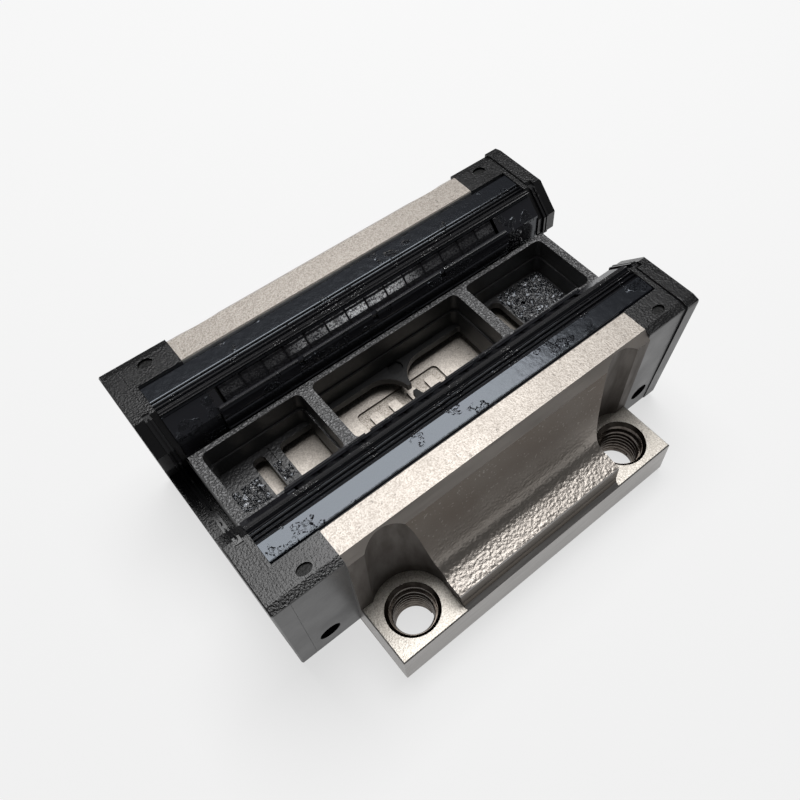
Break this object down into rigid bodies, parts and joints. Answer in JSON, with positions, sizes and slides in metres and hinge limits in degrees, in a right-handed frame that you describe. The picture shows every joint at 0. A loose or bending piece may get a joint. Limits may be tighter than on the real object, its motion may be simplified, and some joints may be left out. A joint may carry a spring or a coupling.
{
  "type": "linear guide carriage",
  "caption": "Flanged roller guide carriage on its mounting face, rail channel upward, with end caps, end seals, long seal strips and a removable transport arbor.",
  "frame": {"origin": "centre of the mounting face that the carriage rests on, midway between the outer faces of the two end seals", "axes": "+X along the travel, +Y towards the rear leg, +Z from the mounting face up to the open rail channel"},
  "size_m": [0.141, 0.12, 0.0515],
  "materials": {
    "body_steel": "bead-blasted forged steel, satin, with as-forged flange ribs",
    "bearing_steel": "ground and polished, greased",
    "screw_steel": "black oxide, satin",
    "seal_rubber": "smooth, greased",
    "strip_plastic": "glossy moulded plastic, greased",
    "cap_plastic": "fine moulded texture",
    "arbor_plastic": "moulded texture, slightly glossy",
    "tube_plastic": "smooth",
    "retainer_plastic": "smooth, greased"
  },
  "bodies": {
    "carriage": {"carriage_body": "body_steel", "end_cap_left": "cap_plastic", "end_cap_right": "cap_plastic", "end_port_plug_left": "screw_steel", "end_port_plug_right": "screw_steel", "end_screws_left": "screw_steel", "end_screws_right": "screw_steel", "end_seal_lip_left": "seal_rubber", "end_seal_lip_right": "seal_rubber", "end_seal_plate_left": "cap_plastic", "end_seal_plate_right": "cap_plastic", "face_retainer_front": "retainer_plastic", "face_retainer_rear": "retainer_plastic", "face_return_tube_front": "tube_plastic", "face_return_tube_rear": "tube_plastic", "lube_insert_left": "retainer_plastic", "lube_insert_right": "retainer_plastic", "nose_retainer_front": "retainer_plastic", "nose_retainer_rear": "retainer_plastic", "return_guide_front_left": "retainer_plastic", "return_guide_front_right": "retainer_plastic", "return_guide_rear_left": "retainer_plastic", "return_guide_rear_right": "retainer_plastic", "saddle_retainer_front": "retainer_plastic", "saddle_retainer_rear": "retainer_plastic", "saddle_return_tube_front": "tube_plastic", "saddle_return_tube_rear": "tube_plastic", "seal_strip_front": "strip_plastic", "seal_strip_rear": "strip_plastic", "strip_lip_front": "seal_rubber", "strip_lip_rear": "seal_rubber", "turn_rollers_left": "bearing_steel", "turn_rollers_right": "bearing_steel"},
    "arbor": {"transport_arbor": "arbor_plastic"},
    "front_face_load_rollers": {"face_row_rollers_front": "bearing_steel"},
    "front_face_return_rollers": {"face_return_rollers_front": "bearing_steel"},
    "front_saddle_load_rollers": {"saddle_row_rollers_front": "bearing_steel"},
    "front_saddle_return_rollers": {"saddle_return_rollers_front": "bearing_steel"},
    "rear_face_load_rollers": {"face_row_rollers_rear": "bearing_steel"},
    "rear_face_return_rollers": {"face_return_rollers_rear": "bearing_steel"},
    "rear_saddle_load_rollers": {"saddle_row_rollers_rear": "bearing_steel"},
    "rear_saddle_return_rollers": {"saddle_return_rollers_rear": "bearing_steel"}
  },
  "joints": [
    {"name": "arbor_slide", "type": "slide", "parent": "carriage", "child": "arbor", "axis": [1, 0, 0], "range_m": [-0.14, 0.14]},
    {"name": "front_face_load_travel", "type": "slide", "parent": "carriage", "child": "front_face_load_rollers", "axis": [1, 0, 0], "range_m": [-0.0025, 0.0025]},
    {"name": "front_face_return_travel", "type": "slide", "parent": "carriage", "child": "front_face_return_rollers", "axis": [1, 0, 0], "range_m": [-0.0026, 0.0026]},
    {"name": "front_saddle_load_travel", "type": "slide", "parent": "carriage", "child": "front_saddle_load_rollers", "axis": [1, 0, 0], "range_m": [-0.0025, 0.0025]},
    {"name": "front_saddle_return_travel", "type": "slide", "parent": "carriage", "child": "front_saddle_return_rollers", "axis": [1, 0, 0], "range_m": [-0.0026, 0.0026]},
    {"name": "rear_face_load_travel", "type": "slide", "parent": "carriage", "child": "rear_face_load_rollers", "axis": [1, 0, 0], "range_m": [-0.0025, 0.0025]},
    {"name": "rear_face_return_travel", "type": "slide", "parent": "carriage", "child": "rear_face_return_rollers", "axis": [1, 0, 0], "range_m": [-0.0026, 0.0026]},
    {"name": "rear_saddle_load_travel", "type": "slide", "parent": "carriage", "child": "rear_saddle_load_rollers", "axis": [1, 0, 0], "range_m": [-0.0025, 0.0025]},
    {"name": "rear_saddle_return_travel", "type": "slide", "parent": "carriage", "child": "rear_saddle_return_rollers", "axis": [1, 0, 0], "range_m": [-0.0026, 0.0026]}
  ],
  "couplings": [
    {"joint": "front_face_return_travel", "follows": "front_face_load_travel", "ratio": -1},
    {"joint": "front_saddle_return_travel", "follows": "front_saddle_load_travel", "ratio": -1},
    {"joint": "rear_face_return_travel", "follows": "rear_face_load_travel", "ratio": -1},
    {"joint": "rear_saddle_return_travel", "follows": "rear_saddle_load_travel", "ratio": -1}
  ]
}
